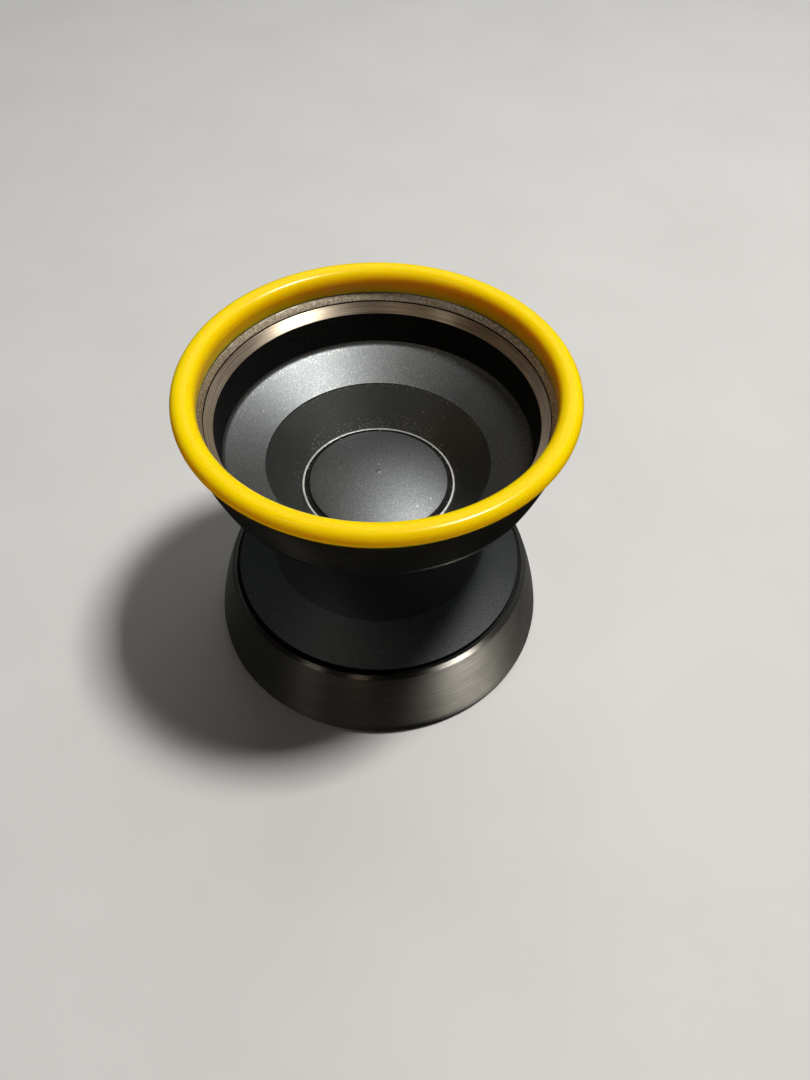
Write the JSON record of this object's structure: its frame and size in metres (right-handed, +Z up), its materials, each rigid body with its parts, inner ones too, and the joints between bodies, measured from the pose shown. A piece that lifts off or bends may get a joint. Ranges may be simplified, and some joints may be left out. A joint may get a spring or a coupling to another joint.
{
  "type": "yo-yo",
  "caption": "Ball-bearing yo-yo with weighted steel rims: two flared metal halves on a threaded axle, with a soft-looking bead ring around one rim.",
  "frame": {"origin": "on the floor under the axle, in the middle of the flat end of the lower rim", "axes": "+Z up along the axle, from the lower half to the upper half; X and Y are free, because the yo-yo is turned about Z"},
  "size_m": [0.0566, 0.0566, 0.0505],
  "materials": {
    "black_anodised": "bead-blasted black anodising",
    "turned_steel": "fine turned stainless steel",
    "yellow_plastic": "smooth glossy plastic",
    "silicone": "matt silicone",
    "axle_steel": "machined thread",
    "bearing_steel": "ground and polished",
    "cage_brass": "pressed strip"
  },
  "bodies": {
    "lower_half": {"lower_body": "black_anodised", "lower_steel_ring": "turned_steel", "lower_response_pad": "silicone", "axle": "axle_steel"},
    "bearing_inner": {"bearing_inner_race": "bearing_steel"},
    "bearing_cage": {"bearing_cage": "cage_brass", "bearing_balls": "bearing_steel"},
    "bearing_outer": {"bearing_outer_race": "bearing_steel", "bearing_lower_shield": "bearing_steel", "bearing_upper_shield": "bearing_steel", "bearing_lower_snap_ring": "bearing_steel", "bearing_upper_snap_ring": "bearing_steel"},
    "upper_half": {"upper_body": "black_anodised", "upper_steel_ring": "turned_steel", "upper_rim_ring": "yellow_plastic", "upper_response_pad": "silicone"}
  },
  "joints": [
    {"name": "unscrew_turn", "type": "hinge", "parent": "lower_half", "child": "bearing_inner", "pos_m": [0, 0, 0.02525], "axis": [0, 0, 1], "range_deg": [0, 2160]},
    {"name": "unscrew_lift", "type": "slide", "parent": "bearing_inner", "child": "upper_half", "axis": [0, 0, 1], "range_m": [0, 0.00421]},
    {"name": "bearing_spin", "type": "hinge", "parent": "bearing_inner", "child": "bearing_outer", "pos_m": [0, 0, 0.02525], "axis": [0, 0, 1], "continuous": true},
    {"name": "cage_spin", "type": "hinge", "parent": "bearing_inner", "child": "bearing_cage", "pos_m": [0, 0, 0.02525], "axis": [0, 0, 1], "continuous": true}
  ],
  "couplings": [
    {"joint": "unscrew_lift", "follows": "unscrew_turn", "m_per_rad": 0.00011141},
    {"joint": "cage_spin", "follows": "bearing_spin", "ratio": 0.58336}
  ]
}
